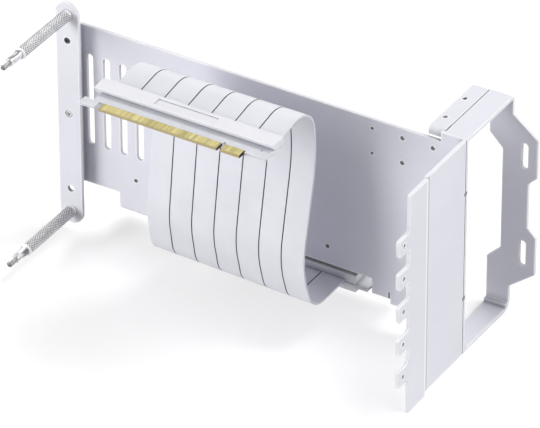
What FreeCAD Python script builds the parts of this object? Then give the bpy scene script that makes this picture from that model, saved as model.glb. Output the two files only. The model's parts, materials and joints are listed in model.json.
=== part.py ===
"""Vertical graphics card bracket with its riser cable, as a parametric document.

A folded sheet plate carries a tongued slot panel and a window frame at its right end, and a bar
with two stand-off posts at its left end.  A riser runs from a card edge board in front, through
a looped flat cable, to an upright card slot under the plate's lower edge.

Datum: X = 0 is the outer face of the slot panel, Y = 0 the front face of the plate and Z = 0 the
plate's top edge.  X runs right, Y to the back, Z up.  Every piece is then shifted so that the
origin is at the middle of the footprint, on the surface that the bracket stands on.
"""
import FreeCAD, Part
import math
import os
import re

import Sketcher
from FreeCAD import Vector

# Driving dimensions in millimetres
SIZES = {
    # folded sheet
    "sheet": 2.0,
    "bend": 0.6,
    "wide_bend": 4.0,
    "plate_length": 235.5,
    "plate_height": 99.8,
    "tab_drop": 10.7,
    "left_tab_start": 194.8,
    "left_tab_width": 18.2,
    "right_tab_start": 45.3,
    "right_tab_width": 10.0,
    "skirt_drop": 12.4,
    "foot_start": 15.4,
    "seat_depth": 24.0,
    "seat_relief": 1.2,
    "corner": 1.5,
    # long slots and holes in the plate
    "slot_inset": 5.3,
    "slot_pitch": 10.3,
    "slot_count": 4,
    "slot_width": 4.0,
    "slot_top": 17.4,
    "slot_length": 57.4,
    "vent_hole": 2.8,
    "vent_hole_x": 38.0,
    "vent_hole_drop": 5.8,
    "vent_hole_pitch": 15.3,
    "ear_hole_x": 19.9,
    "pin_hole": 1.8,
    "pin_hole_offset": 18.1,
    "cable_hole": 2.6,
    "cable_hole_inset": 10.9,
    "cable_hole_left": 202.4,
    "cable_hole_right": 82.8,
    # window frame
    "ear_width": 15.3,
    "frame_rise": 5.7,
    "frame_height": 134.2,
    "frame_width": 13.4,
    "window_depth": 48.5,
    "lug_lift": 2.1,
    "frame_jog": 8.0,
    "jog_inner": 31.2,
    "lug_reach": 15.2,
    "lug_height": 23.4,
    "waist_reach": 10.1,
    "shoulder_slope": 12.2,
    "lug_slot_x": 7.8,
    "lug_slot_spacing": 60.96,
    "lug_slot_length": 16.0,
    "lug_slot_width": 3.9,
    "lap_length": 2.5,
    "seam_width": 0.6,
    "seam_depth": 0.5,
    # screw ledge
    "ledge_reach": 24.0,
    "ledge_front": 2.4,
    "lip_height": 4.9,
    "ledge_slit": 0.8,
    "ledge_slit_end": 8.0,
    "ledge_hole_x": 20.6,
    "ledge_hole_y": 13.8,
    "case_slot_pitch": 20.32,
    "ledge_hole": 2.8,
    # slot panel and its tongues
    "panel_depth": 40.5,
    "joggle": 2.0,
    "joggle_relief": 1.6,
    "strip_rise": 1.0,
    "tongue_root": 60.2,
    "tongue_tip": 71.0,
    "tongue_first": 20.7,
    "tongue_width": 10.2,
    "tongue_count": 5,
    "tongue_hole": 3.0,
    "tongue_hole_y": 66.0,
    "root_round": 2.5,
    "relief": 3.2,
    "relief_upper": 27.4,
    "relief_lower": 92.8,
    # left end: web, bar and stand-off posts
    "web_reach": 6.0,
    "bar_offset": 3.6,
    "bar_middle": 53.8,
    "bar_width": 14.4,
    "bar_end": 0.67,
    "bar_thick": 2.0,
    "bar_hole": 4.0,
    "bar_hole_inset": 15.13,
    "bar_hole_drop": 1.0,
    "post_spacing": 124.46,
    "post_diameter": 7.0,
    "post_body": 45.5,
    "neck_diameter": 5.0,
    "neck_length": 9.5,
    "stud_diameter": 3.4,
    "stud_length": 6.5,
    "post_chamfer": 0.8,
    # screws
    "screw_diameter": 3.0,
    "head_diameter": 5.6,
    "head_height": 1.8,
    "post_screw_grip": 7.0,
    "flush_head_diameter": 4.4,
    "flush_head_height": 1.0,
    "recess_reach": 1.5,
    "recess_width": 0.8,
    "recess_depth": 0.9,
    "screw_clearance": 0.2,
    # card edge board
    "board_thick": 1.6,
    "card_level": 17.9,
    "card_reach": 88.5,
    "finger_left": 167.5,
    "finger_length": 85.0,
    "key_from_right": 12.6,
    "key_width": 1.9,
    "key_depth": 7.5,
    "card_shoulder": 4.5,
    "card_left": 179.5,
    "card_right": 69.6,
    "card_hook_gap": 3.0,
    "card_hook_depth": 6.0,
    "card_hook_setback": 1.0,
    "card_pull_hole": 1.8,
    "card_pull_hole_x": 75.2,
    "card_pull_hole_gap": 1.2,
    "bevel": 0.5,
    "contact_pitch": 1.0,
    "contact_width": 0.7,
    "contact_length": 5.3,
    "contact_thick": 0.1,
    "contact_setback": 0.6,
    "contact_margin": 0.65,
    # flat cable and the covers that hold its ends
    "riser_center": 121.3,
    "card_cover_center": 123.4,
    "card_cover_length": 107.7,
    "slot_cover_length": 113.0,
    "cover_depth": 10.5,
    "cover_exposed": 11.6,
    "cover_height": 3.9,
    "cover_under": 3.4,
    "cover_wall": 1.5,
    "cover_nose": 3.2,
    "cover_undercut": 2.2,
    "cover_lid": 0.5,
    "under_inset": 6.5,
    "cover_round": 0.35,
    "pad_length": 36.2,
    "pad_width": 5.4,
    "pad_sink": 0.4,
    "pad_inset": 2.4,
    "pad_offset": 3.0,
    "cable_width": 99.5,
    "cable_thick": 1.2,
    "cable_strips": 7,
    "cable_slit": 0.5,
    "cable_clearance": 0.3,
    "loop_start": 65.5,
    "start_radius": 25.0,
    "crest_y": 33.5,
    "crest_rise": 6.5,
    "crest_sag": 2.0,
    "crest_radius": 17.0,
    "back_y": 30.4,
    "back_z": 14.0,
    "back_radius": 90.0,
    "belly_y": 44.5,
    "belly_draw": 7.0,
    "belly_rise": 30.3,
    "belly_radius": 55.0,
    "toe_y": 33.0,
    "toe_radius": 16.0,
    # card slot under the plate
    "slot_board_front": 1.5,
    "slot_board_gap": 0.5,
    "slot_board_inset": 2.0,
    "slot_cover_front": 1.0,
    "slot_cover_height": 5.6,
    "housing_length": 89.0,
    "housing_width": 7.5,
    "housing_height": 11.2,
    "housing_y": 15.0,
    "channel_width": 2.4,
    "channel_depth": 8.0,
    "spring_thick": 0.3,
    "spring_width": 0.5,
    "spring_height": 6.0,
    # retention latch at the slot's left end
    "cheek_reach": 8.0,
    "cheek_height": 7.5,
    "cheek_thick": 1.2,
    "latch_clearance": 0.3,
    "pin_clearance": 0.15,
    "latch_pivot_x": 4.2,
    "latch_pivot_z": 4.2,
    "latch_pin": 1.6,
    "latch_height": 15.0,
    "latch_thick": 3.2,
    "latch_nose": 2.4,
    "latch_thumb": 5.5,
}

# Shift from the datum to the middle of the footprint
SHIFT_X = "((plate_length + bar_offset + bar_width / 2 - lug_reach) / 2)"
SHIFT_Y = "((card_reach - window_depth - sheet) / 2)"
SHIFT_Z = "(frame_height - frame_rise)"

# Levels and places that several pieces share
FOOT = "(frame_height - frame_rise)"
LUG_MIDDLE = "(frame_height / 2 - frame_rise - lug_lift)"
TAB_FLOOR = "(plate_height + tab_drop)"
SEAT_LEVEL = "(plate_height + tab_drop - sheet)"
SLOT_LEVEL = "(plate_height + tab_drop - sheet - board_thick)"
COVER_FRONT = "(card_reach - cover_exposed)"
FINGER_RIGHT = "(finger_left - finger_length)"
HOUSING_LEFT = "(finger_left - finger_length / 2 + housing_length / 2)"
BAR_CENTER = "(plate_length + bar_offset)"
BAR_LENGTH = "(post_spacing + bar_width + 2 * bar_end)"
BAR_BACK = "(web_reach)"
BAR_FRONT = "(web_reach + bar_thick)"

doc = FreeCAD.newDocument("card_bracket")
sheet = doc.addObject("Spreadsheet::Sheet", "sizes")
for row, (alias, number) in enumerate(SIZES.items(), start=1):
    sheet.set(f"A{row}", alias)
    sheet.set(f"B{row}", str(number))
    sheet.setAlias(f"B{row}", alias)
doc.recompute()

PIECES = []


def formula(text):
    """Spell a formula over the sheet's names the way an expression reads them."""
    return re.sub(r"[a-z][a-z_]*", lambda word: "sizes." + word.group(), text)


def value(text):
    """Work a formula out with the sheet's present numbers."""
    return float(sheet.evalExpression(formula(text)))


def bind(item, path, text):
    item.setExpression(path, formula(text))


def place(item, x="0", y="0", z="0"):
    """Put a finished piece in the bracket's frame and list it for writing."""
    bind(item, "Placement.Base.x", f"{SHIFT_X} + {x}")
    bind(item, "Placement.Base.y", f"{SHIFT_Y} + {y}")
    bind(item, "Placement.Base.z", f"{SHIFT_Z} + {z}")
    PIECES.append(item)
    return item


def new_body(name):
    body = doc.addObject("PartDesign::Body", name)
    body.Label = name
    return body


def origin_item(body, role):
    return [item for item in body.Origin.OriginFeatures if item.Role == role][0]


def new_sketch(body, name, role, level="0"):
    """A sketch parallel to an origin plane; level is its place along +X, +Y or +Z."""
    sketch = body.newObject("Sketcher::SketchObject", name)
    sketch.AttachmentSupport = (origin_item(body, role), [""])
    sketch.MapMode = "FlatFace"
    sign = "-" if role == "XZ_Plane" else ""
    bind(sketch, "AttachmentOffset.Base.z", f"{sign}({level})")
    return sketch


def pin_point(sketch, geometry, position, x, y):
    """Hold a point of the sketch at two formulas measured from the sketch's origin."""
    for kind, text in (("DistanceX", x), ("DistanceY", y)):
        number = value(text)
        if number < 0:
            constraint = Sketcher.Constraint(kind, geometry, position, -1, 1, -number)
            text = f"-({text})"
        else:
            constraint = Sketcher.Constraint(kind, -1, 1, geometry, position, number)
        index = sketch.addConstraint(constraint)
        bind(sketch, f"Constraints[{index}]", text)


def outline(sketch, corners):
    """Close a loop through corners (x, y); (x, y, radius, side) rounds the run that follows.

    Side is 1 for an arc that turns left on its way to the next corner and -1 for a right turn.
    """
    first = sketch.GeometryCount
    count = len(corners)
    points = [Vector(value(corner[0]), value(corner[1]), 0) for corner in corners]
    ends = []
    for index, corner in enumerate(corners):
        start = points[index]
        stop = points[(index + 1) % count]
        if len(corner) == 2:
            sketch.addGeometry(Part.LineSegment(start, stop))
            ends.append((1, 2))
            continue
        radius = value(corner[2])
        side = corner[3]
        chord = stop - start
        rise = math.sqrt(max(radius ** 2 - chord.Length ** 2 / 4, 0))
        across = Vector(-chord.y, chord.x, 0).normalize()
        center = (start + stop) * 0.5 + across * rise * side
        entry = math.atan2(start.y - center.y, start.x - center.x)
        leave = math.atan2(stop.y - center.y, stop.x - center.x)
        circle = Part.Circle(center, Vector(0, 0, 1), radius)
        if side > 0:
            sketch.addGeometry(Part.ArcOfCircle(circle, entry, leave))
            ends.append((1, 2))
        else:
            sketch.addGeometry(Part.ArcOfCircle(circle, leave, entry))
            ends.append((2, 1))
    for index, corner in enumerate(corners):
        after = (index + 1) % count
        join = (first + index, ends[index][1], first + after, ends[after][0])
        sketch.addConstraint(Sketcher.Constraint("Coincident", *join))
        pin_point(sketch, first + index, ends[index][0], corner[0], corner[1])
        if len(corner) > 2:
            radius = Sketcher.Constraint("Radius", first + index, value(corner[2]))
            number = sketch.addConstraint(radius)
            bind(sketch, f"Constraints[{number}]", corner[2])


def block(x_low, x_high, y_low, y_high):
    """Corners of a rectangle between two places across and two places up."""
    return [(x_low, y_low), (x_high, y_low), (x_high, y_high), (x_low, y_high)]


def cross(reach, half):
    """Corners of an upright cross about the sketch's origin."""
    quarter = [(1, 1), (-1, 1), (-1, -1), (1, -1)]
    corners = []
    for index, (x, y) in enumerate(quarter):
        arms = [(x, reach, y, half), (x, half, y, half), (x, half, y, reach)]
        for x_sign, x_size, y_sign, y_size in arms if index % 2 == 0 else arms[::-1]:
            corners.append((f"{x_sign} * ({x_size})", f"{y_sign} * ({y_size})"))
    return corners


def long_hole(x, y_low, y_high, width):
    """Corners of an upright slot with round ends; y_low and y_high are its extreme ends."""
    half = f"({width}) / 2"
    left = f"{x} - {half}"
    right = f"{x} + {half}"
    return [
        (left, f"{y_low} + {half}", half, 1),
        (x, y_low, half, 1),
        (right, f"{y_low} + {half}"),
        (right, f"{y_high} - {half}", half, 1),
        (x, y_high, half, 1),
        (left, f"{y_high} - {half}"),
    ]


def hole(sketch, x, y, diameter):
    circle = Part.Circle(Vector(value(x), value(y), 0), Vector(0, 0, 1), value(diameter) / 2)
    index = sketch.addGeometry(circle)
    pin_point(sketch, index, 3, x, y)
    number = sketch.addConstraint(Sketcher.Constraint("Diameter", index, value(diameter)))
    bind(sketch, f"Constraints[{number}]", diameter)


def add_wall(body, name, role, corners, low, high):
    """Pad an outline from one level to a higher one along the plane's axis."""
    sketch = new_sketch(body, name + "_outline", role, low)
    outline(sketch, corners)
    pad = body.newObject("PartDesign::Pad", name)
    pad.Profile = sketch
    pad.Reversed = role == "XZ_Plane"
    bind(pad, "Length", f"{high} - ({low})")
    doc.recompute()
    return pad


def cut_sketch(body, sketch, name, role, low, high):
    """Pocket a sketch that lies at the low level, up to the high level."""
    before = body.Shape.Volume
    pocket = body.newObject("PartDesign::Pocket", name)
    pocket.Profile = sketch
    pocket.Reversed = role != "XZ_Plane"
    bind(pocket, "Length", f"{high} - ({low})")
    doc.recompute()
    if body.Shape.Volume >= before:
        raise RuntimeError(f"{name} cuts nothing")
    return pocket


def cut_loops(body, name, role, loops, low, high):
    sketch = new_sketch(body, name + "_outline", role, low)
    for corners in loops:
        outline(sketch, corners)
    return cut_sketch(body, sketch, name, role, low, high)


def cut_holes(body, name, role, holes, low, high):
    sketch = new_sketch(body, name + "_outline", role, low)
    for x, y, diameter in holes:
        hole(sketch, x, y, diameter)
    return cut_sketch(body, sketch, name, role, low, high)


def straight_edges(shape, direction, x=None, y=None, z=None):
    """Names of the straight edges that run along a direction through the given places."""
    wanted = [None if text is None else value(text) for text in (x, y, z)]
    names = []
    for index, edge in enumerate(shape.Edges, start=1):
        if edge.Curve.TypeId != "Part::GeomLine":
            continue
        if abs(abs(edge.tangentAt(edge.FirstParameter).dot(direction)) - 1) > 1e-6:
            continue
        middle = edge.CenterOfMass
        offsets = [abs(place - goal) for place, goal in zip(middle, wanted) if goal is not None]
        if max(offsets) < 1e-4:
            names.append(f"Edge{index}")
    return names


def round_edges(body, name, radius, picks, kind="PartDesign::Fillet"):
    """Fillet, or chamfer, the picked edges; each pick is a direction and the places it runs through."""
    doc.recompute()
    base = body.Tip
    names = []
    for direction, places in picks:
        names += straight_edges(base.Shape, direction, **places)
    if not names:
        raise RuntimeError(f"{name} finds no edge")
    feature = body.newObject(kind, name)
    feature.Base = (base, names)
    bind(feature, "Radius" if kind.endswith("Fillet") else "Size", radius)
    doc.recompute()
    return feature


def turn(body, name, role, corners):
    """Revolve a half section about the sketch's upright axis."""
    sketch = new_sketch(body, name + "_section", role)
    outline(sketch, corners)
    revolution = body.newObject("PartDesign::Revolution", name)
    revolution.Profile = sketch
    revolution.ReferenceAxis = (sketch, ["V_Axis"])
    doc.recompute()
    return revolution


ALONG_X = Vector(1, 0, 0)
ALONG_Y = Vector(0, 1, 0)
ALONG_Z = Vector(0, 0, 1)


def plate_outline():
    """The plate seen from the front: ear, foot, skirt and the two lower tabs."""
    left = "-plate_length - sheet"
    return [
        (left, "0"),
        ("-ear_width", "0"),
        ("-ear_width", "frame_rise"),
        ("0", "frame_rise"),
        ("0", f"-{FOOT}"),
        ("-foot_start", f"-{FOOT}"),
        (f"-foot_start - {FOOT} + plate_height + skirt_drop", "-plate_height - skirt_drop"),
        ("-right_tab_start + seat_relief", "-plate_height - skirt_drop"),
        ("-right_tab_start + seat_relief", "-plate_height - tab_drop / 2"),
        ("-right_tab_start", "-plate_height - tab_drop / 2"),
        ("-right_tab_start", f"-{TAB_FLOOR}"),
        ("-right_tab_start - right_tab_width", f"-{TAB_FLOOR}"),
        ("-right_tab_start - right_tab_width", "-plate_height"),
        ("-left_tab_start", "-plate_height"),
        ("-left_tab_start", f"-{TAB_FLOOR}"),
        ("-left_tab_start - left_tab_width", f"-{TAB_FLOOR}"),
        ("-left_tab_start - left_tab_width", "-plate_height"),
        (left, "-plate_height"),
    ]


def back_outline():
    """The window frame's back strip: it jogs outward and has two lugs with slots."""
    corners = [("0", "frame_rise")]
    upper = f"-{LUG_MIDDLE} + lug_slot_spacing / 2"
    lower = f"-{LUG_MIDDLE} - lug_slot_spacing / 2"
    step = "(lug_reach - waist_reach)"
    corners += [
        ("0", f"{upper} + lug_height / 2 + shoulder_slope"),
        ("lug_reach", f"{upper} + lug_height / 2"),
        ("lug_reach", f"{upper} - lug_height / 2"),
        ("waist_reach", f"{upper} - lug_height / 2 - {step}"),
        ("waist_reach", f"{lower} + lug_height / 2 + {step}"),
        ("lug_reach", f"{lower} + lug_height / 2"),
        ("lug_reach", f"{lower} - lug_height / 2"),
        ("0", f"{lower} - lug_height / 2 - shoulder_slope"),
        ("0", f"-{FOOT}"),
        ("-frame_width", f"-{FOOT}"),
        ("-frame_width", f"-{LUG_MIDDLE} - jog_inner - frame_jog"),
        ("-frame_width + frame_jog", f"-{LUG_MIDDLE} - jog_inner"),
        ("-frame_width + frame_jog", f"-{LUG_MIDDLE} + jog_inner"),
        ("-frame_width", f"-{LUG_MIDDLE} + jog_inner + frame_jog"),
        ("-frame_width", "frame_rise"),
    ]
    return corners


def fold_edges(body):
    """Round the folds: outside by the bend plus the sheet, inside by the bend."""
    back = "window_depth + sheet"
    outside = [
        (ALONG_Z, dict(x="-plate_length - sheet", y="sheet")),
        (ALONG_Z, dict(x="-plate_length", y="-web_reach")),
        (ALONG_X, dict(y=back, z="frame_rise")),
        (ALONG_X, dict(y="0", z=f"-{TAB_FLOOR}")),
        (ALONG_X, dict(y="ledge_front", z="frame_rise")),
    ]
    inside = [
        (ALONG_Z, dict(x="-plate_length", y="0")),
        (ALONG_Z, dict(x="-plate_length - sheet", y="-web_reach + sheet")),
        (ALONG_Z, dict(x="-sheet", y="0")),
        (ALONG_X, dict(x="-frame_width / 2", y="window_depth", z="frame_rise - sheet")),
        (ALONG_X, dict(y="sheet", z=f"-{SEAT_LEVEL}")),
        (ALONG_X, dict(y="ledge_front + sheet", z="frame_rise - sheet")),
    ]
    round_edges(body, "outer_folds", "bend + sheet", outside)
    round_edges(body, "inner_folds", "bend", inside)
    round_edges(body, "lower_back_fold", "wide_bend + sheet", [(ALONG_X, dict(y=back, z=f"-{FOOT}"))])
    corner = dict(y="window_depth", z=f"-{FOOT} + 2 * sheet")
    round_edges(body, "lower_back_hollow", "lap_length / 2", [(ALONG_X, corner)])


def tongue_gaps(body):
    """Cut the tongues free: the gaps between them, then the strip above and below them."""
    low = "joggle - sheet"
    outer = "-tongue_tip - sheet"
    root = "-tongue_root"
    rounded_root = "-tongue_root - root_round"
    gap_top = "-tongue_first - tongue_width / 2"
    gap_low = "-tongue_first - case_slot_pitch + tongue_width / 2"
    gap = [
        (outer, gap_low),
        (rounded_root, gap_low, "root_round", 1),
        (root, f"{gap_low} + root_round"),
        (root, f"{gap_top} - root_round", "root_round", 1),
        (rounded_root, gap_top),
        (outer, gap_top),
    ]
    pocket = cut_loops(body, "tongue_gap", "YZ_Plane", [gap], low, "joggle")
    gaps = body.newObject("PartDesign::LinearPattern", "tongue_gaps")
    gaps.Originals = [pocket]
    gaps.Direction = (origin_item(body, "Z_Axis"), [""])
    gaps.Reversed = True
    gaps.Mode = "Spacing"
    bind(gaps, "Offset", "case_slot_pitch")
    bind(gaps, "Occurrences", "tongue_count - 1")
    body.Tip = gaps
    doc.recompute()
    upper_low = "-tongue_first + tongue_width / 2"
    lower_top = "-tongue_first - (tongue_count - 1) * case_slot_pitch - tongue_width / 2"
    above = [
        (outer, upper_low),
        (rounded_root, upper_low, "root_round", 1),
        (root, f"{upper_low} + root_round"),
        (root, "frame_rise + strip_rise + sheet"),
        (outer, "frame_rise + strip_rise + sheet"),
    ]
    below = [
        (outer, lower_top),
        (outer, f"-{FOOT} - sheet"),
        (root, f"-{FOOT} - sheet"),
        (root, f"{lower_top} - root_round", "root_round", 1),
        (rounded_root, lower_top),
    ]
    cut_loops(body, "strip_ends", "YZ_Plane", [above, below], low, "joggle")
    corners = [(ALONG_X, dict(y="-tongue_tip")), (ALONG_X, dict(y=root, z="frame_rise + strip_rise"))]
    round_edges(body, "tongue_corners", "corner", corners)


def make_main_plate():
    body = new_body("main_plate")
    back = "window_depth + sheet"
    plate_left = "-plate_length - sheet"
    add_wall(body, "plate", "XZ_Plane", plate_outline(), "0", "sheet")
    panel = block("-panel_depth", "sheet", f"-{FOOT}", "frame_rise")
    add_wall(body, "slot_panel", "YZ_Plane", panel, "-sheet", "0")
    step = "-panel_depth - joggle"
    strip = block("-tongue_tip", step, f"-{FOOT}", "frame_rise + strip_rise")
    add_wall(body, "tongue_strip", "YZ_Plane", strip, "joggle - sheet", "joggle")
    slope = [("-sheet", "-panel_depth"), ("joggle - sheet", step), ("joggle", step), ("0", "-panel_depth")]
    ends = (f"-{FOOT} + joggle_relief", "frame_rise - joggle_relief")
    add_wall(body, "strip_joggle", "XY_Plane", slope, *ends)
    top = block("-frame_width", "0", "0", back)
    add_wall(body, "top_strip", "XY_Plane", top, "frame_rise - sheet", "frame_rise")
    add_wall(body, "bottom_strip", "XY_Plane", top, f"-{FOOT}", f"-{FOOT} + sheet")
    add_wall(body, "back_strip", "XZ_Plane", back_outline(), "window_depth", back)
    lap = block("-frame_width", "0", "window_depth - lap_length", "window_depth")
    add_wall(body, "strip_lap", "XY_Plane", lap, f"-{FOOT} + sheet", f"-{FOOT} + 2 * sheet")
    ledge = block("-ledge_reach", "-frame_width", "ledge_front", "window_depth")
    add_wall(body, "screw_ledge", "XY_Plane", ledge, "frame_rise - sheet", "frame_rise")
    lip = block("-ledge_reach", "-frame_width - ledge_slit", "ledge_front", "ledge_front + sheet")
    add_wall(body, "ledge_lip", "XY_Plane", lip, "frame_rise - lip_height", "frame_rise")
    web = block(plate_left, "-plate_length", "-web_reach", "sheet")
    add_wall(body, "left_web", "XY_Plane", web, "-plate_height", "0")
    flange_left = f"-{BAR_CENTER} - bar_width / 2 + sheet"
    flange = block(flange_left, "-plate_length", "-web_reach", "-web_reach + sheet")
    add_wall(body, "left_flange", "XY_Plane", flange, "-plate_height", "0")
    for side in ("left", "right"):
        seat = block(f"-{side}_tab_start - {side}_tab_width", f"-{side}_tab_start", "0", "seat_depth")
        add_wall(body, f"{side}_seat", "XY_Plane", seat, f"-{TAB_FLOOR}", f"-{SEAT_LEVEL}")
    slit = block("-frame_width - ledge_slit", "-frame_width", "sheet", "ledge_slit_end")
    cut_loops(body, "ledge_slit_cut", "XY_Plane", [slit], "frame_rise - lip_height", "frame_rise")
    fold_edges(body)
    seam = block("-frame_width - seam_width", "-frame_width", "ledge_slit_end", "window_depth")
    cut_loops(body, "ledge_seam", "XY_Plane", [seam], "frame_rise - seam_depth", "frame_rise")
    seam = block("-seam_width", "0", f"-{FOOT}", "frame_rise")
    cut_loops(body, "panel_seam", "YZ_Plane", [seam], "-seam_depth", "0")
    loops = []
    for index in range(int(SIZES["slot_count"])):
        x = f"-plate_length + slot_inset + {index} * slot_pitch"
        loops.append(long_hole(x, "-slot_top - slot_length", "-slot_top", "slot_width"))
    cut_loops(body, "long_slots", "XZ_Plane", loops, "0", "sheet")
    holes = [
        ("-vent_hole_x", "-vent_hole_drop", "vent_hole"),
        ("-vent_hole_x", "-vent_hole_drop - vent_hole_pitch", "vent_hole"),
        ("-ear_hole_x", "-vent_hole_drop", "vent_hole"),
        ("-vent_hole_x - pin_hole_offset", "-vent_hole_drop", "pin_hole"),
        ("-vent_hole_x - pin_hole_offset", "-vent_hole_drop - vent_hole_pitch", "pin_hole"),
        ("-cable_hole_left", "-plate_height + cable_hole_inset", "cable_hole"),
        ("-cable_hole_right", "-plate_height + cable_hole_inset", "cable_hole"),
    ]
    cut_holes(body, "plate_holes", "XZ_Plane", holes, "0", "sheet")
    bar_holes = [
        (f"-{BAR_CENTER}", "-bar_middle", "screw_diameter + screw_clearance"),
        (f"-{BAR_CENTER}", "-bar_middle - bar_hole_drop + post_spacing / 2 - bar_hole_inset", "bar_hole"),
    ]
    cut_holes(body, "flange_holes", "XZ_Plane", bar_holes, "-web_reach", "-web_reach + sheet")
    loops = []
    for sign in ("+", "-"):
        middle = f"-{LUG_MIDDLE} {sign} lug_slot_spacing / 2"
        ends = (f"{middle} - lug_slot_length / 2", f"{middle} + lug_slot_length / 2")
        loops.append(long_hole("lug_slot_x", *ends, "lug_slot_width"))
    cut_loops(body, "lug_slots", "XZ_Plane", loops, "window_depth", back)
    threads = [
        ("-ledge_hole_x", "ledge_hole_y", "ledge_hole"),
        ("-ledge_hole_x", "ledge_hole_y + case_slot_pitch", "ledge_hole"),
    ]
    cut_holes(body, "ledge_threads", "XY_Plane", threads, "frame_rise - sheet", "frame_rise")
    seats = []
    for side in ("left", "right"):
        x = f"-{side}_tab_start - {side}_tab_width / 2"
        seats.append((x, "housing_y", "screw_diameter + screw_clearance"))
    cut_holes(body, "seat_threads", "XY_Plane", seats, f"-{TAB_FLOOR}", f"-{SEAT_LEVEL}")
    tongue_gaps(body)
    holes = []
    for index in range(int(SIZES["tongue_count"])):
        z = f"-tongue_first - {index} * case_slot_pitch"
        holes.append(("-tongue_hole_y", z, "tongue_hole"))
    cut_holes(body, "tongue_holes", "YZ_Plane", holes, "joggle - sheet", "joggle")
    reliefs = [("0", "-relief_upper", "relief"), ("0", "-relief_lower", "relief")]
    cut_holes(body, "fold_reliefs", "YZ_Plane", reliefs, "-sheet - bend", "0")
    return place(body)


def make_mounting_bar():
    """Flat bar with round ends across the plate's left end."""
    body = new_body("mounting_bar")
    ends = (f"-bar_middle - {BAR_LENGTH} / 2", f"-bar_middle + {BAR_LENGTH} / 2")
    shape = long_hole(f"-{BAR_CENTER}", *ends, "bar_width")
    add_wall(body, "bar", "XZ_Plane", shape, f"-{BAR_FRONT}", f"-{BAR_BACK}")
    bore = "screw_diameter + screw_clearance"
    holes = [
        (f"-{BAR_CENTER}", "-bar_middle + post_spacing / 2", bore),
        (f"-{BAR_CENTER}", "-bar_middle - post_spacing / 2", bore),
        (f"-{BAR_CENTER}", "-bar_middle", bore),
        (f"-{BAR_CENTER}", "-bar_middle - bar_hole_drop + post_spacing / 2 - bar_hole_inset", "bar_hole"),
        (f"-{BAR_CENTER}", "-bar_middle - bar_hole_drop - post_spacing / 2 + bar_hole_inset", "bar_hole"),
    ]
    cut_holes(body, "bar_holes", "XZ_Plane", holes, f"-{BAR_FRONT}", f"-{BAR_BACK}")
    sink = [(f"-{BAR_CENTER}", "-bar_middle", "flush_head_diameter + screw_clearance")]
    cut_holes(body, "screw_sink", "XZ_Plane", sink, f"-{BAR_FRONT}", f"-{BAR_FRONT} + flush_head_height")
    return place(body)


def make_standoff(name, z):
    """Turned post: body, neck and stud, with a blind screw hole in its foot."""
    body = new_body(name)
    bore = "(screw_diameter + screw_clearance) / 2"
    rim = "post_diameter / 2"
    neck = "neck_diameter / 2"
    stud = "stud_diameter / 2"
    neck_end = "-post_body - neck_length"
    tip = "-post_body - neck_length - stud_length"
    section = [
        (bore, "0"),
        (rim, "0"),
        (rim, "-post_body + post_chamfer"),
        (f"{rim} - post_chamfer", "-post_body"),
        (neck, "-post_body"),
        (neck, neck_end),
        (stud, neck_end),
        (stud, f"{tip} + post_chamfer"),
        (f"{stud} - post_chamfer", tip),
        ("0", tip),
        ("0", "-post_screw_grip - 2 * bend"),
        (bore, "-post_screw_grip - 2 * bend"),
    ]
    turn(body, "post", "XY_Plane", section)
    return place(body, f"-{BAR_CENTER}", f"-{BAR_FRONT}", z)


def make_screw(name, role, grip, x, y, z, outward=1, head="head"):
    """Screw whose head, named by its sizes, stands on the outward side of its seat."""
    body = new_body(name)
    shank = "screw_diameter / 2"
    rim = f"{head}_diameter / 2"
    tall = f"{head}_height"
    crown = f"{tall} / 3"
    sign = "" if outward > 0 else "-"
    drop = "-" if outward > 0 else ""
    section = [
        ("0", f"{drop}({grip})"),
        (shank, f"{drop}({grip})"),
        (shank, "0"),
        (rim, "0"),
        (rim, f"{sign}({tall} - {crown})"),
        (f"{rim} - {crown}", f"{sign}{tall}"),
        ("0", f"{sign}{tall}"),
    ]
    if outward < 0:
        section.reverse()
    turn(body, "screw", role, section)
    ends = (f"{tall} - recess_depth", tall)
    if outward < 0:
        ends = (f"-{tall}", f"-{tall} + recess_depth")
    face = "XZ_Plane" if role == "XY_Plane" else "XY_Plane"
    cut_loops(body, "cross_recess", face, [cross("recess_reach", "recess_width / 2")], *ends)
    return place(body, x, y, z)


def make_card_board():
    """Card edge board: finger tongue with its key, a hook tab on the left and a shoulder on the right."""
    body = new_body("card_board")
    tip = "-card_reach"
    rear = f"-{COVER_FRONT} + cover_depth - cover_wall / 2"
    key_left = f"-{FINGER_RIGHT} - key_from_right - key_width / 2"
    key_right = f"-{FINGER_RIGHT} - key_from_right + key_width / 2"
    shape = [
        ("-finger_left", tip),
        (key_left, tip),
        (key_left, f"{tip} + key_depth"),
        (key_right, f"{tip} + key_depth"),
        (key_right, tip),
        (f"-{FINGER_RIGHT}", tip),
        (f"-{FINGER_RIGHT}", f"{tip} + card_shoulder"),
        ("-card_right", f"{tip} + card_shoulder"),
        ("-card_right", rear),
        ("-card_left", rear),
        ("-card_left", f"{tip} + card_hook_setback"),
        ("-finger_left - card_hook_gap", f"{tip} + card_hook_setback"),
        ("-finger_left - card_hook_gap", f"{tip} + card_hook_depth"),
        ("-finger_left", f"{tip} + card_hook_depth"),
    ]
    add_wall(body, "board", "XY_Plane", shape, "card_level - board_thick", "card_level")
    edges = [
        (ALONG_X, dict(y=tip, z="card_level")),
        (ALONG_X, dict(y=tip, z="card_level - board_thick")),
    ]
    round_edges(body, "finger_bevel", "bevel", edges, "PartDesign::Chamfer")
    pull = [("-card_pull_hole_x", f"-{COVER_FRONT} - card_pull_hole_gap", "card_pull_hole")]
    cut_holes(body, "pull_hole", "XY_Plane", pull, "card_level - board_thick", "card_level")
    return place(body)


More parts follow.
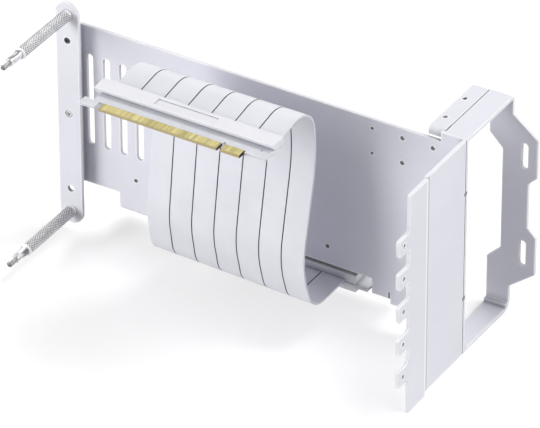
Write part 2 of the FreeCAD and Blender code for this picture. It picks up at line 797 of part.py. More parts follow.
def contact_places():
    """Contact positions along the fingers, left of the key and right of it."""
    key = value(f"{FINGER_RIGHT} + key_from_right")
    half_key = value("key_width") / 2
    pitch = value("contact_pitch")
    margin = value("contact_margin")
    places = []
    for left, right in (
        (-value("finger_left"), -key - half_key),
        (-key + half_key, -value(FINGER_RIGHT)),
    ):
        count = int((right - left - 2 * margin) / pitch) + 1
        first = (left + right - (count - 1) * pitch) / 2
        places += [first + index * pitch for index in range(count)]
    return places


def compound_piece(name, solids):
    """A group of separate solids under one name."""
    piece = doc.addObject("Part::Feature", name)
    piece.Label = name
    piece.Shape = Part.Compound(solids)
    return place(piece)


def make_card_contacts():
    """Plated contact pads on both faces of the finger tongue."""
    width = value("contact_width")
    length = value("contact_length")
    thick = value("contact_thick")
    front = -value("card_reach") + value("contact_setback")
    top = value("card_level")
    under = value("card_level - board_thick - contact_thick")
    solids = []
    for x in contact_places():
        for level in (top, under):
            corner = Vector(x - width / 2, front, level)
            solids.append(Part.makeBox(width, length, thick, corner))
    return compound_piece("card_contacts", solids)


def make_cover(name, span, front, level, height, sink=False):
    """Upper cover over a cable end: a moulding with a tunnel for the cable on its underside."""
    body = new_body(name)
    left, right = span
    rear = f"{front} + cover_depth"
    add_wall(body, "shell", "XY_Plane", block(left, right, front, rear), level, f"{level} + {height}")
    top = f"{level} + {height}"
    rim = [
        (ALONG_X, dict(y=front, z=top)),
        (ALONG_X, dict(y=rear, z=top)),
        (ALONG_Y, dict(x=left, z=top)),
        (ALONG_Y, dict(x=right, z=top)),
    ]
    round_edges(body, "rim", "cover_round", rim)
    tunnel_left = "-riser_center - cable_width / 2 - cable_clearance"
    tunnel_right = "-riser_center + cable_width / 2 + cable_clearance"
    tunnel = (f"{front} + cover_nose", rear) if sink else (front, f"{rear} - cover_wall")
    loop = block(tunnel_left, tunnel_right, *tunnel)
    cut_loops(body, "tunnel", "XY_Plane", [loop], level, f"{level} + cable_thick + cable_clearance")
    if sink:
        nose = [(front, level), (f"{front} + cover_undercut", level), (front, f"{top} - cover_lid")]
        cut_loops(body, "undercut", "YZ_Plane", [nose], left, right)
        pad_left = "-riser_center - pad_offset - pad_length / 2"
        pad_front = f"{front} + pad_inset"
        pad = block(pad_left, f"{pad_left} + pad_length", pad_front, f"{pad_front} + pad_width")
        cut_loops(body, "blank_pad", "XY_Plane", [pad], f"{top} - pad_sink", top)
    return place(body)


def make_under_cover(name, span, front, level):
    """Lower cover under a board, a plain moulding with rounded lower edges."""
    body = new_body(name)
    left, right = span
    rear = f"{front} + cover_depth"
    floor = f"{level} - cover_under"
    add_wall(body, "shell", "XY_Plane", block(left, right, front, rear), floor, level)
    rim = [
        (ALONG_X, dict(y=front, z=floor)),
        (ALONG_X, dict(y=rear, z=floor)),
        (ALONG_Y, dict(x=left, z=floor)),
        (ALONG_Y, dict(x=right, z=floor)),
    ]
    round_edges(body, "rim", "cover_round", rim)
    return place(body)


def rounded_path(corners):
    """Straight runs joined by tangent arcs; a corner is a point and the radius that rounds it.

    Each run comes back as two or three points: a line's ends, or an arc's ends and middle.
    """
    runs = []
    start = corners[0][0]
    for before, (corner, radius), after in zip(corners, corners[1:], corners[2:]):
        incoming = (corner - before[0]).normalize()
        outgoing = (after[0] - corner).normalize()
        half = incoming.getAngle(outgoing) / 2
        reach = radius * math.tan(half)
        enter = corner - incoming * reach
        leave = corner + outgoing * reach
        toward = (outgoing - incoming).normalize()
        middle = corner + toward * radius * (1 / math.cos(half) - 1)
        runs.append([start, enter])
        runs.append([enter, middle, leave])
        start = leave
    runs.append([start, corners[-1][0]])
    return runs


def offset_edges(runs, distance):
    """The path moved sideways in its own plane by a distance."""
    edges = []
    for run in runs:
        if len(run) == 2:
            curve = Part.LineSegment(*run)
        else:
            curve = Part.Arc(*run)
        points = []
        for point in run:
            along = curve.tangent(curve.parameter(point))[0]
            if along.dot(run[-1] - run[0]) < 0:
                along = along * -1
            points.append(point + along.cross(ALONG_X) * distance)
        if len(run) == 2:
            edges.append(Part.LineSegment(*points).toShape())
        else:
            edges.append(Part.Arc(*points).toShape())
    return edges


def cable_section(x, sag, draw):
    """Long section of the cable at one of its edges; sag lowers the crest and draw pulls the belly in."""
    thick = value("cable_thick")
    seat = value("card_level") + thick / 2
    landing = -value(SLOT_LEVEL) + thick / 2
    start = -value(COVER_FRONT) + value("cover_nose + cable_clearance")
    finish = -value("slot_cover_front") + value("cover_depth - cover_wall - cable_clearance")
    crest = seat + value("crest_rise") - sag
    belly = -value("belly_y") + draw
    corners = [
        (Vector(x, start, seat), 0),
        (Vector(x, -value("loop_start"), seat), value("start_radius")),
        (Vector(x, -value("crest_y"), crest), value("crest_radius")),
        (Vector(x, -value("back_y"), -value("back_z")), value("back_radius")),
        (Vector(x, belly, landing + value("belly_rise")), value("belly_radius")),
        (Vector(x, -value("toe_y"), landing), value("toe_radius")),
        (Vector(x, finish, landing), 0),
    ]
    runs = rounded_path(corners)
    upper = offset_edges(runs, -thick / 2)
    lower = offset_edges(runs, thick / 2)
    far = Part.LineSegment(upper[-1].Vertexes[-1].Point, lower[-1].Vertexes[-1].Point).toShape()
    near = Part.LineSegment(lower[0].Vertexes[0].Point, upper[0].Vertexes[0].Point).toShape()
    length = sum(edge.Length for edge in offset_edges(runs, 0))
    return Part.Wire(upper + [far] + lower[::-1] + [near]), length


def make_ribbon_cable():
    """Flat cable of parallel strips, looped from the card edge board to the slot board."""
    width = value("cable_width")
    left = -value("riser_center") - width / 2
    left_section, left_length = cable_section(left, value("crest_sag"), value("belly_draw"))
    right_section, right_length = cable_section(left + width, 0, 0)
    cable = Part.makeLoft([left_section, right_section], True, True)
    slit = value("cable_slit")
    strips = int(value("cable_strips"))
    box = cable.BoundBox
    slit_start = -value(COVER_FRONT) + value("cover_depth - cover_wall")
    slit_end = -value("slot_cover_front") + value("cover_wall")
    slits = []
    for index in range(1, strips):
        x = left + width * index / strips - slit / 2
        corner = Vector(x, slit_start, box.ZMin - slit)
        slits.append(Part.makeBox(slit, slit_end - slit_start, box.ZLength + 2 * slit, corner))
    piece = doc.addObject("Part::Feature", "ribbon_cable")
    piece.Label = "ribbon_cable"
    piece.Shape = cable.cut(Part.Compound(slits))
    print("cable length", round(left_length, 1), round(right_length, 1))
    return place(piece)


def make_slot_board():
    """Slot board: its two ears lie on the plate's folded seats."""
    body = new_body("slot_board")
    middle_left = "-left_tab_start + slot_board_inset"
    middle_right = "-right_tab_start - right_tab_width - slot_board_inset"
    ear_left = "-left_tab_start - left_tab_width + slot_board_inset"
    ear_right = "-right_tab_start - slot_board_inset"
    ear_front = "sheet + bend + slot_board_gap"
    shape = [
        (middle_left, "-slot_board_front"),
        (middle_right, "-slot_board_front"),
        (middle_right, ear_front),
        (ear_right, ear_front),
        (ear_right, "seat_depth"),
        (ear_left, "seat_depth"),
        (ear_left, ear_front),
        (middle_left, ear_front),
    ]
    add_wall(body, "board", "XY_Plane", shape, f"-{SEAT_LEVEL}", f"-{SLOT_LEVEL}")
    bore = "screw_diameter + screw_clearance"
    holes = [
        ("-left_tab_start - left_tab_width / 2", "housing_y", bore),
        ("-right_tab_start - right_tab_width / 2", "housing_y", bore),
    ]
    cut_holes(body, "screw_holes", "XY_Plane", holes, f"-{SEAT_LEVEL}", f"-{SLOT_LEVEL}")
    return place(body)


def make_slot_housing():
    """Upright card slot: a channel with its key rib, and two cheeks that carry the latch."""
    body = new_body("slot_housing")
    left = f"-{HOUSING_LEFT}"
    right = f"-{HOUSING_LEFT} + housing_length"
    front = "housing_y - housing_width / 2"
    rear = "housing_y + housing_width / 2"
    floor = f"-{SLOT_LEVEL}"
    top = f"-{SLOT_LEVEL} + housing_height"
    add_wall(body, "shell", "XY_Plane", block(left, right, front, rear), floor, top)
    cheek_left = f"{left} - cheek_reach"
    cheek_top = f"{floor} + cheek_height"
    for name, low, high in (
        ("front_cheek", front, f"{front} + cheek_thick"),
        ("rear_cheek", f"{rear} - cheek_thick", rear),
    ):
        add_wall(body, name, "XY_Plane", block(cheek_left, left, low, high), floor, cheek_top)
    channel_front = "housing_y - channel_width / 2"
    channel_rear = "housing_y + channel_width / 2"
    key = f"-{FINGER_RIGHT} - key_from_right"
    rib = "key_width / 2 - screw_clearance"
    loops = [
        block("-finger_left - latch_clearance", f"{key} - ({rib})", channel_front, channel_rear),
        block(f"{key} + {rib}", f"-{FINGER_RIGHT} + latch_clearance", channel_front, channel_rear),
    ]
    cut_loops(body, "channel", "XY_Plane", loops, f"{top} - channel_depth", top)
    pivot = [(f"{left} - latch_pivot_x", f"{floor} + latch_pivot_z", "latch_pin + pin_clearance")]
    cut_holes(body, "pivot_holes", "XZ_Plane", pivot, front, rear)
    return place(body)


def make_slot_contacts():
    """Spring contacts in two rows along the walls of the slot's channel."""
    width = value("spring_width")
    thick = value("spring_thick")
    height = value("spring_height")
    low = value(f"-{SLOT_LEVEL} + housing_height - channel_depth")
    front = value("housing_y - channel_width / 2")
    rear = value("housing_y + channel_width / 2 - spring_thick")
    solids = []
    for x in contact_places():
        for y in (front, rear):
            solids.append(Part.makeBox(width, thick, height, Vector(x - width / 2, y, low)))
    return compound_piece("slot_contacts", solids)


def make_slot_latch():
    """Card latch that tips outward about its pins; the body's own origin is the pivot."""
    body = new_body("slot_latch")
    half_width = "(housing_width / 2 - cheek_thick - latch_clearance)"
    side = "latch_thick"
    shelf = "(housing_height - latch_pivot_z + latch_clearance)"
    peak = "(latch_height - latch_pivot_z)"
    neck = "(-latch_thick / 3)"
    profile = [
        (f"-{side}", "0", side, 1),
        ("0", f"-{side}", side, 1),
        (side, "0"),
        (side, shelf),
        ("latch_pivot_x + latch_nose", shelf),
        ("latch_pivot_x + latch_nose", f"{shelf} + latch_nose / 2"),
        (side, f"{shelf} + 1.5 * latch_nose"),
        ("0", f"{shelf} + 1.5 * latch_nose"),
        ("-latch_thumb", f"{peak} + latch_nose / 2"),
        ("-latch_thumb - latch_nose / 2", f"{peak} - latch_nose / 2"),
        (neck, shelf),
        (neck, f"{shelf} / 2"),
    ]
    add_wall(body, "lever", "XZ_Plane", profile, f"-{half_width}", half_width)
    sketch = new_sketch(body, "pin_outline", "XZ_Plane", "-housing_width / 2 + latch_clearance")
    hole(sketch, "0", "0", "latch_pin")
    pin = body.newObject("PartDesign::Pad", "pin")
    pin.Profile = sketch
    pin.Reversed = True
    bind(pin, "Length", "housing_width - 2 * latch_clearance")
    doc.recompute()
    return place(body, f"-{HOUSING_LEFT} - latch_pivot_x", "housing_y", f"-{SLOT_LEVEL} + latch_pivot_z")


def check_and_write():
    """Stop on any failed object, then write one file for each piece."""
    doc.recompute()
    for item in doc.Objects:
        if "Invalid" in item.State or "Error" in item.State:
            raise RuntimeError(f"{item.Label} failed: {item.State}")
    os.makedirs("parts", exist_ok=True)
    for piece in PIECES:
        if piece.Shape.isNull() or not piece.Shape.isValid():
            raise RuntimeError(f"{piece.Label} has no valid shape")
        piece.Shape.exportStep(f"parts/{piece.Label}.step")
        print(piece.Label, len(piece.Shape.Solids), round(piece.Shape.Volume, 1))


make_main_plate()
make_mounting_bar()
make_standoff("upper_standoff", "-bar_middle + post_spacing / 2")
make_standoff("lower_standoff", "-bar_middle - post_spacing / 2")
for place_name, sign in (("upper", "+"), ("lower", "-")):
    height = f"-bar_middle {sign} post_spacing / 2"
    make_screw(f"{place_name}_standoff_screw", "XY_Plane", "bar_thick + post_screw_grip",
               f"-{BAR_CENTER}", f"-{BAR_BACK}", height)
make_screw("bar_screw", "XY_Plane", "bar_thick + sheet - flush_head_height", f"-{BAR_CENTER}",
           f"-{BAR_FRONT} + flush_head_height", "-bar_middle", outward=-1, head="flush_head")
make_card_board()
make_card_contacts()
card_span = ("-card_cover_center - card_cover_length / 2", "-card_cover_center + card_cover_length / 2")
slot_span = ("-riser_center - slot_cover_length / 2", "-riser_center + slot_cover_length / 2")
make_cover("card_top_cover", card_span, f"-{COVER_FRONT}", "card_level", "cover_height", sink=True)
under_span = (f"{card_span[0]} + under_inset", f"{card_span[1]} - under_inset")
make_under_cover("card_bottom_cover", under_span, f"-{COVER_FRONT}", "card_level - board_thick")
make_ribbon_cable()
make_slot_board()
make_slot_housing()
make_slot_contacts()
make_slot_latch()
make_cover("slot_top_cover", slot_span, "-slot_cover_front", f"-{SLOT_LEVEL}", "slot_cover_height")
make_under_cover("slot_bottom_cover", slot_span, "-slot_cover_front", f"-{SEAT_LEVEL}")
for place_name in ("left", "right"):
    across = f"-{place_name}_tab_start - {place_name}_tab_width / 2"
    make_screw(f"{place_name}_board_screw", "XZ_Plane", "board_thick + sheet", across,
               "housing_y", f"-{SLOT_LEVEL}")
check_and_write()
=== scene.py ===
import json
import math

import bmesh
import bpy
from mathutils import Matrix, Vector


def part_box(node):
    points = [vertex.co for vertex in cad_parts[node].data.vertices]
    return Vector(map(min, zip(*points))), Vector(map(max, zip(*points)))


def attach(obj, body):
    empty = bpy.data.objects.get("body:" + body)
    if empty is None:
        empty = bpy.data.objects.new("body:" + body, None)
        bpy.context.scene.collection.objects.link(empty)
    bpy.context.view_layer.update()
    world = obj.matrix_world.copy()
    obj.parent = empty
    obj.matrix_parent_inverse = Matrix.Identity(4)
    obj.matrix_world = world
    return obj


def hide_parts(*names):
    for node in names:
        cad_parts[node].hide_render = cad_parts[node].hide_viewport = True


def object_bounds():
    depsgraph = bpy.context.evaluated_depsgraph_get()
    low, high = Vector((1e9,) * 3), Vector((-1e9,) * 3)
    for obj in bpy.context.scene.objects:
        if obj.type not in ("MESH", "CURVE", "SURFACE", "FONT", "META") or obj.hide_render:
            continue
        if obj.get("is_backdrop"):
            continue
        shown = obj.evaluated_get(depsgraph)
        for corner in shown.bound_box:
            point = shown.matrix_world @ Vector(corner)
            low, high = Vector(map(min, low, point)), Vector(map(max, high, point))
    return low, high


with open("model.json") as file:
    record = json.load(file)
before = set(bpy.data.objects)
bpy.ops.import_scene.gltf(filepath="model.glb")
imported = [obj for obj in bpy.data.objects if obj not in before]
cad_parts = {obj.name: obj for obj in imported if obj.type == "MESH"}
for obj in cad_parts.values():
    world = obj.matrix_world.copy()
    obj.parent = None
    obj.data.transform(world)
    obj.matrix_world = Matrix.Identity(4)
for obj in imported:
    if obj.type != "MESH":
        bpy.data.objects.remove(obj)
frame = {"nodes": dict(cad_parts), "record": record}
cad_low, cad_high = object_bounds()
nodes = frame["nodes"]
scene = bpy.context.scene
MM = 0.001
FULL_TURN = 2 * math.pi
# The CAD source's own origin, as the frame has it
DATUM = Vector((115.55, 19.0, 128.5)) * MM


# Materials
COLOUR_SPAN = (0.35, 0.65)  # the part of a noise that mixes two colours
ROUGH_SPAN = (0.3, 0.7)  # the part of a noise that sets the roughness
EDGE_SPAN = (0.970, 0.995)  # likeness of the rounded and the true normal, from edge to open face
CREASE_SPAN = (0.55, 0.92)  # open share of the sky, from inner corner to open face
MASK_SAMPLES = 6
BEVEL_SAMPLES = 4
MIX_COLOURS = (6, 7)  # a mix node's colour inputs
MIX_RESULT = 2  # and its colour output


class Shader:
    """A node material with short calls for the nodes that the finishes share."""

    def __init__(self, name):
        self.material = bpy.data.materials.new(name)
        self.material.use_nodes = True
        self.tree = self.material.node_tree
        self.surface = self.tree.nodes["Principled BSDF"]
        self.coords = self.tree.nodes.new("ShaderNodeTexCoord").outputs["Object"]

    def node(self, kind, **values):
        """A new node with some of its settings."""
        item = self.tree.nodes.new(kind)
        for key, value in values.items():
            setattr(item, key, value)
        return item

    def link(self, source, target):
        self.tree.links.new(source, target)

    def set(self, name, value):
        """Give one of the surface's inputs a constant."""
        self.surface.inputs[name].default_value = value

    def noise(self, scale, detail=3.0, roughness=0.5, stretch=None):
        """Noise in the part's own coordinates; a stretch makes it finer or coarser along the axes."""
        texture = self.node("ShaderNodeTexNoise")
        texture.inputs["Scale"].default_value = scale
        texture.inputs["Detail"].default_value = detail
        texture.inputs["Roughness"].default_value = roughness
        source = self.coords
        if stretch:
            mapping = self.node("ShaderNodeMapping")
            mapping.inputs["Scale"].default_value = stretch
            self.link(source, mapping.inputs["Vector"])
            source = mapping.outputs["Vector"]
        self.link(source, texture.inputs["Vector"])
        return texture.outputs["Fac"]

    def axis(self, name):
        """One of the part's own coordinates, in metres."""
        split = self.node("ShaderNodeSeparateXYZ")
        self.link(self.coords, split.inputs["Vector"])
        return split.outputs[name]

    def math(self, operation, *values):
        """A math node fed by sockets and numbers."""
        item = self.node("ShaderNodeMath", operation=operation)
        for socket, value in zip(item.inputs, values):
            if isinstance(value, (int, float)):
                socket.default_value = value
            else:
                self.link(value, socket)
        return item.outputs["Value"]

    def over(self, source, limit):
        return self.math("GREATER_THAN", source, limit)

    def under(self, source, limit):
        return self.math("LESS_THAN", source, limit)

    def both(self, first, second):
        """Where two masks overlap, or a mask made weaker by a number."""
        return self.math("MULTIPLY", first, second)

    def between(self, source, low, high):
        return self.both(self.over(source, low), self.under(source, high))

    def waves(self, source, pitch):
        """A sine with one wave for each pitch."""
        return self.math("SINE", self.math("MULTIPLY", source, FULL_TURN / pitch))

    def remap(self, source, span, values):
        """Carry a span over to other values, and stop at its ends."""
        item = self.node("ShaderNodeMapRange")
        self.link(source, item.inputs["Value"])
        item.inputs["From Min"].default_value, item.inputs["From Max"].default_value = span
        item.inputs["To Min"].default_value, item.inputs["To Max"].default_value = values
        return item.outputs["Result"]

    def mix(self, factor, first, second):
        """The first colour where the factor is 0 and the second where it is 1."""
        item = self.node("ShaderNodeMix", data_type="RGBA")
        self.link(factor, item.inputs["Factor"])
        for number, value in zip(MIX_COLOURS, (first, second)):
            if isinstance(value, tuple):
                item.inputs[number].default_value = (*value, 1.0)
            else:
                self.link(value, item.inputs[number])
        return item.outputs[MIX_RESULT]

    def mottle(self, noise, first, second, span=COLOUR_SPAN):
        """Two colours mixed by a noise."""
        return self.mix(self.remap(noise, span, (0, 1)), first, second)

    def edges(self, reach):
        """1 along the edges and 0 a reach away from them."""
        rounded = self.node("ShaderNodeBevel", samples=MASK_SAMPLES)
        rounded.inputs["Radius"].default_value = reach
        likeness = self.node("ShaderNodeVectorMath", operation="DOT_PRODUCT")
        self.link(rounded.outputs["Normal"], likeness.inputs[0])
        self.link(self.node("ShaderNodeNewGeometry").outputs["Normal"], likeness.inputs[1])
        return self.remap(likeness.outputs["Value"], EDGE_SPAN, (1, 0))

    def creases(self, reach, alone=False):
        """1 deep in inner corners and 0 on open faces; alone leaves out what other pieces shade."""
        hollow = self.node("ShaderNodeAmbientOcclusion", samples=MASK_SAMPLES, only_local=alone)
        hollow.inputs["Distance"].default_value = reach
        return self.remap(hollow.outputs["AO"], CREASE_SPAN, (1, 0))

    def facing(self, name, least):
        """1 where the flat surface faces along an axis, either way, at least so squarely."""
        geometry = self.node("ShaderNodeNewGeometry")
        split = self.node("ShaderNodeSeparateXYZ")
        self.link(geometry.outputs["True Normal"], split.inputs["Vector"])
        return self.over(self.math("ABSOLUTE", split.outputs[name]), least)

    def colour(self, source):
        self.link(source, self.surface.inputs["Base Color"])

    def rough(self, noise, smooth, dull):
        """Roughness that follows a noise between two values."""
        self.link(self.remap(noise, ROUGH_SPAN, (smooth, dull)), self.surface.inputs["Roughness"])

    def soften(self, radius):
        """Shade the edges as if they were rounded."""
        bevel = self.node("ShaderNodeBevel", samples=BEVEL_SAMPLES)
        bevel.inputs["Radius"].default_value = radius
        self.link(bevel.outputs["Normal"], self.surface.inputs["Normal"])

    def bump(self, height, strength, depth):
        """Lay a relief over the softened edges and the bumps so far."""
        target = self.surface.inputs["Normal"]
        below = target.links[0].from_socket
        item = self.node("ShaderNodeBump")
        item.inputs["Strength"].default_value = strength
        item.inputs["Distance"].default_value = depth
        self.link(height, item.inputs["Height"])
        self.link(below, item.inputs["Normal"])
        self.link(item.outputs["Normal"], target)


def darker(colour, share):
    return tuple(share * part for part in colour)


# Painted light for the finishes: highlights on edges, shade in inner corners, shadow in gaps
EDGE_HIGHLIGHT = (0.96, 0.96, 0.97)
CREASE_SHADE = (0.36, 0.36, 0.40)
GAP_SHADOW = (0.015, 0.015, 0.018)
SQUARE_ON = 0.9
PAINT_EDGE = 1.6 * MM
PAINT_CREASE = 4.5 * MM
BEND_LIGHT = 1.3 * MM
BEND_SHADE = 2.7 * MM
BEND_DEPTH = 0.5


def powder_coat(name, light, dark, bend=None):
    """White powder coat: fine orange peel, faint cloudiness, painted highlights on edges, painted
    shade in corners.

    A bend is the corner and the step of a joggle in the panel that faces along X. It gets a painted
    highlight on a lip on one side and a painted line of shade on the other.
    """
    paint = Shader(name)
    face = paint.mottle(paint.noise(scale=22, detail=4), dark, light)
    # Painted highlight along the edges
    face = paint.mix(paint.edges(PAINT_EDGE), face, EDGE_HIGHLIGHT)
    if bend:
        corner, step = bend
        along = paint.axis("Y")
        panel = paint.over(paint.axis("X"), corner.x - step / 2)
        panel = paint.both(panel, paint.facing("X", SQUARE_ON))
        # Painted highlight on the joggle's lip and a painted line of shade past its inner corner
        lip_highlight = paint.between(along, corner.y - step - BEND_LIGHT, corner.y - step)
        face = paint.mix(paint.both(panel, lip_highlight), face, EDGE_HIGHLIGHT)
        shade = paint.both(paint.between(along, corner.y, corner.y + BEND_SHADE), BEND_DEPTH)
        face = paint.mix(paint.both(panel, shade), face, CREASE_SHADE)
    # Painted shade in the sheet's own inner corners
    paint.colour(paint.mix(paint.creases(PAINT_CREASE, alone=True), face, CREASE_SHADE))
    peel = paint.noise(scale=1500, detail=2)
    grit = paint.noise(scale=5200, detail=2)
    paint.rough(peel, smooth=0.42, dull=0.56)
    paint.set("Specular IOR Level", 0.4)
    paint.soften(0.45 * MM)
    paint.bump(peel, strength=0.10, depth=0.08 * MM)
    paint.bump(grit, strength=0.06, depth=0.02 * MM)
    return paint.material


METAL_ROUND = 0.1 * MM
STAIN_SPAN = (0.3, 0.72)
STAIN = 0.72
STEEL_CREASE = 0.5 * MM
STEEL_CREASE_SHADE = 0.15


def bright_steel(name, tint, smooth, dull):
    """Turned and nickelled steel with fine tool lines, a little staining and painted shade in inner
    corners.
    """
    metal = Shader(name)
    metal.set("Metallic", 1.0)
    stain = metal.noise(scale=260, detail=5, roughness=0.6)
    face = metal.mottle(stain, tint, darker(tint, STAIN), STAIN_SPAN)
    # Painted shade in the inner corners
    metal.colour(metal.mix(metal.creases(STEEL_CREASE), face, darker(tint, STEEL_CREASE_SHADE)))
    lines = metal.noise(scale=900, stretch=(1.0, 14.0, 1.0))
    metal.rough(lines, smooth, dull)
    metal.soften(METAL_ROUND)
    metal.bump(lines, strength=0.12, depth=0.03 * MM)
    return metal.material


STREAK_SPAN = (0.44, 0.54)


def streaked_steel(name, light, dark):
    """Polished steel whose colour has painted light and dark reflection streaks along Y, as a turned
    neck shows.
    """
    metal = Shader(name)
    metal.set("Metallic", 1.0)
    streak = metal.noise(scale=520, detail=2, stretch=(1.0, 0.12, 1.0))
    # Painted reflection: light and dark streaks along Y
    metal.colour(metal.mottle(streak, dark, light, STREAK_SPAN))
    metal.rough(streak, smooth=0.22, dull=0.32)
    metal.soften(METAL_ROUND)
    metal.bump(streak, strength=0.10, depth=0.03 * MM)
    return metal.material


PLASTIC_EDGE = 0.5 * MM
PLASTIC_ROUND = 0.3 * MM
PLASTIC_CREASE = 1.4 * MM
TOP_SLOPE = 0.7


def moulded(name, light, dark, rounding=PLASTIC_ROUND, crease=PLASTIC_CREASE, gap=None):
    """Moulded white plastic with a fine spark-eroded texture.

    Its edges get a painted highlight and its inner corners painted shade within a crease's reach; a
    gap puts a black painted shadow on its level faces within that reach of other pieces.
    """
    plastic = Shader(name)
    face = plastic.mottle(plastic.noise(scale=60), dark, light)
    # Painted highlight along the edges
    face = plastic.mix(plastic.edges(PLASTIC_EDGE), face, EDGE_HIGHLIGHT)
    # Painted shade in inner corners, cast by this and other pieces
    face = plastic.mix(plastic.creases(crease), face, CREASE_SHADE)
    if gap:
        # Painted shadow of a gap: level faces close to other pieces turn black
        gap_shadow_mask = plastic.both(plastic.creases(gap), plastic.facing("Z", TOP_SLOPE))
        face = plastic.mix(gap_shadow_mask, face, GAP_SHADOW)
    plastic.colour(face)
    grain = plastic.noise(scale=3800, detail=2)
    plastic.rough(grain, smooth=0.38, dull=0.5)
    plastic.soften(rounding)
    plastic.bump(grain, strength=0.10, depth=0.03 * MM)
    return plastic.material


SHEATH_LIGHT = (0.785, 0.785, 0.845)
SHEATH_DARK = (0.735, 0.735, 0.795)
SLIT_SHADE = (0.15, 0.15, 0.17)
SLIT_WALL_SHADE = (0.05, 0.05, 0.06)
CONDUCTOR_PITCH = 1.27 * MM
OUTER_EDGE = 1.0 * MM


def cable_sheath(name, low, high, strips, slit_edge):
    """Satin cable sheath: ridges along the conductors, soft waves and painted shade beside and inside
    the slits between strips.
    """
    sheath = Shader(name)
    cloud = sheath.noise(scale=35, detail=4)
    across = sheath.axis("X")
    face = sheath.mottle(cloud, SHEATH_DARK, SHEATH_LIGHT)
    inside = sheath.between(across, low.x + OUTER_EDGE, high.x - OUTER_EDGE)
    strip = (high.x - low.x) / strips
    from_slit = sheath.math("PINGPONG", sheath.math("SUBTRACT", across, low.x), strip / 2)
    beside = sheath.both(inside, sheath.under(from_slit, slit_edge))
    # Painted shade in a band beside each slit
    face = sheath.mix(beside, face, SLIT_SHADE)
    wall = sheath.both(inside, sheath.facing("X", SQUARE_ON))
    # Painted shade on the slits' walls
    sheath.colour(sheath.mix(wall, face, SLIT_WALL_SHADE))
    sheath.rough(cloud, smooth=0.34, dull=0.44)
    ridge = sheath.waves(across, CONDUCTOR_PITCH)
    wave = sheath.noise(scale=70, detail=2)
    sheath.soften(0.6 * MM)
    sheath.bump(ridge, strength=0.05, depth=0.03 * MM)
    sheath.bump(wave, strength=0.10, depth=0.4 * MM)
    return sheath.material


BOARD_EDGE = 0.4 * MM
BOARD_SHADE = 0.95
LAMINATE_TOP = ((0.05, 0.036, 0.012), (0.09, 0.07, 0.03))
LAMINATE_FRONT = ((0.40, 0.33, 0.17), (0.50, 0.42, 0.24))
LAMINATE_END_SHADE = (0.004, 0.004, 0.004)
FRONT_SLOPE = 0.3
END_SLOPE = 0.7
TRACK_PITCH = 1.0 * MM
TRACK_LEVEL = 0.1


def solder_mask(name, light, fingers=None, crease=None):
    """White solder mask over buried tracks, with painted highlights on edges and optional painted
    crease shade.

    Round the fingers, given by their lowest and highest corner, the laminate is bare: dark between
    them and pale in front; the black on its faces at the ends is painted shade.
    """
    board = Shader(name)
    face = board.mottle(board.noise(scale=90), darker(light, BOARD_SHADE), light)
    # Painted highlight along the edges
    face = board.mix(board.edges(BOARD_EDGE), face, EDGE_HIGHLIGHT)
    if crease:
        # Painted shade in inner corners
        face = board.mix(board.creases(crease), face, CREASE_SHADE)
    if fingers:
        low, high = fingers
        inside = board.both(board.between(board.axis("X"), low.x, high.x),
                            board.under(board.axis("Y"), high.y))
        weave = board.noise(scale=1800)
        face = board.mix(inside, face, board.mottle(weave, *LAMINATE_TOP))
        front = board.both(inside, board.facing("Y", FRONT_SLOPE))
        face = board.mix(front, face, board.mottle(weave, *LAMINATE_FRONT))
        # Painted shade: the laminate's faces along X turn black
        end = board.both(inside, board.facing("X", END_SLOPE))
        face = board.mix(end, face, LAMINATE_END_SHADE)
        board.set("Specular IOR Level", 0.25)
    board.colour(face)
    tracks = board.over(board.waves(board.axis("X"), TRACK_PITCH), TRACK_LEVEL)
    speckle = board.noise(scale=2600, detail=2)
    board.rough(speckle, smooth=0.30, dull=0.42)
    board.soften(0.1 * MM)
    board.bump(tracks, strength=0.12, depth=0.03 * MM)
    board.bump(speckle, strength=0.05, depth=0.02 * MM)
    return board.material


GOLD_BRIGHT = (0.97, 0.87, 0.43)
GOLD_RUBBED = (0.34, 0.285, 0.095)
RUB_SPAN = (0.25, 0.75)
GRAIN_SHARE = 0.7
FINGER_SHARE = 0.3


def gold_plate(name, pitch):
    """Hard gold over nickel, each finger rubbed a little differently, with fine wipe marks."""
    gold = Shader(name)
    gold.set("Metallic", 0.8)
    finger = gold.node("ShaderNodeTexWhiteNoise", noise_dimensions="1D")
    number = gold.math("FLOOR", gold.math("DIVIDE", gold.axis("X"), pitch))
    gold.link(number, finger.inputs["W"])
    by_finger = gold.math("MULTIPLY", finger.outputs["Value"], FINGER_SHARE)
    grain = gold.noise(scale=2500, detail=4, roughness=0.6)
    rub = gold.math("MULTIPLY_ADD", grain, GRAIN_SHARE, by_finger)
    gold.colour(gold.mottle(rub, GOLD_RUBBED, GOLD_BRIGHT, RUB_SPAN))
    wipe = gold.noise(scale=1400, stretch=(6.0, 1.0, 1.0))
    gold.rough(wipe, smooth=0.32, dull=0.50)
    gold.soften(METAL_ROUND)
    gold.bump(wipe, strength=0.08, depth=0.02 * MM)
    return gold.material


# The finish of each node
JOGGLE = 2.0 * MM
JOGGLE_CORNER = Vector((DATUM.x, -21.5 * MM, 0.0))
FINGER_PITCH = 1.0 * MM
FINGER_MARGIN = Vector((1.0, 0.0, 0.0)) * MM
CABLE_STRIPS = 7
SLIT_EDGE = 0.34 * MM
finger_low, finger_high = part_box("card_contacts")
bare_laminate = (finger_low - FINGER_MARGIN, finger_high + FINGER_MARGIN)

plate_paint = powder_coat("plate_paint", light=(0.795, 0.795, 0.865), dark=(0.77, 0.77, 0.84),
                          bend=(JOGGLE_CORNER, JOGGLE))
bar_paint = powder_coat("bar_paint", light=(0.805, 0.805, 0.87), dark=(0.78, 0.78, 0.845))
post_steel = bright_steel("post_steel", tint=(0.82, 0.82, 0.83), smooth=0.24, dull=0.40)
